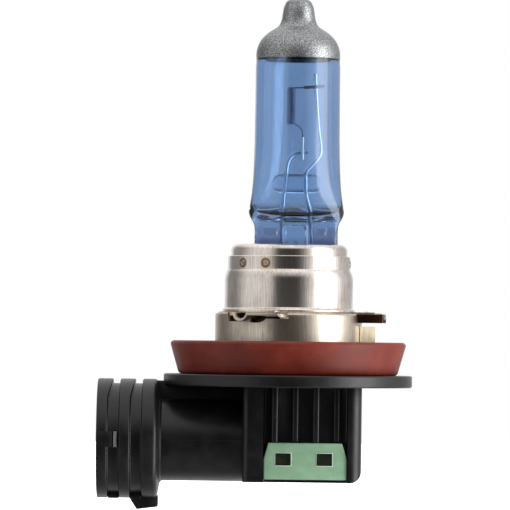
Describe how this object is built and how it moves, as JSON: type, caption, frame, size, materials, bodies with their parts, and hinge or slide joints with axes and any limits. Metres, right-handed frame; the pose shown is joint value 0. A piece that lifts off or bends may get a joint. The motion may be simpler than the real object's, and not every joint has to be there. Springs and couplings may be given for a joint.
{
  "type": "halogen headlight bulb",
  "caption": "Headlight bulb: blue glass capsule with an upright filament, three-tab metal cap, red gasket ring and black right-angle plug housing.",
  "frame": {"origin": "where the cap axis meets the seating plane, which the pressed bosses of the three tabs touch", "axes": "+Z along the cap axis towards the glass tip, -X towards the plug mouth, -Y out of the terminal cover"},
  "size_m": [0.0406, 0.0322, 0.0664],
  "materials": {
    "blue_glass": "blue-coated hard glass, fire-polished",
    "grey_coating": "dipped opaque heat-resistant coating, matt and speckled",
    "tungsten": "drawn tungsten wire",
    "molybdenum": "drawn molybdenum wire",
    "clear_glass": "fire-polished glass bead",
    "nickel_steel": "deep-drawn nickel-plated steel, satin",
    "weld_metal": "spot weld with heat tint",
    "red_silicone": "moulded silicone rubber",
    "black_plastic": "injection-moulded glass-filled plastic",
    "green_plastic": "injection-moulded plastic",
    "tinned_brass": "stamped and tin-plated"
  },
  "bodies": {
    "root": {"glass_envelope": "blue_glass", "top_coating": "grey_coating", "filament": "tungsten", "upper_leg_sleeve": "molybdenum", "lower_leg_sleeve": "molybdenum", "long_support_wire": "molybdenum", "short_support_wire": "molybdenum", "glass_bridge": "clear_glass", "pinch_clamp": "nickel_steel", "ferrule": "nickel_steel", "adjusting_sleeve": "nickel_steel", "tab_ring": "nickel_steel", "ferrule_welds": "weld_metal", "foot_welds": "weld_metal", "gasket": "red_silicone", "base_housing": "black_plastic", "terminal_cover": "green_plastic", "contact_blade_front": "tinned_brass", "contact_blade_rear": "tinned_brass", "lead_welds": "weld_metal"}
  },
  "joints": []
}
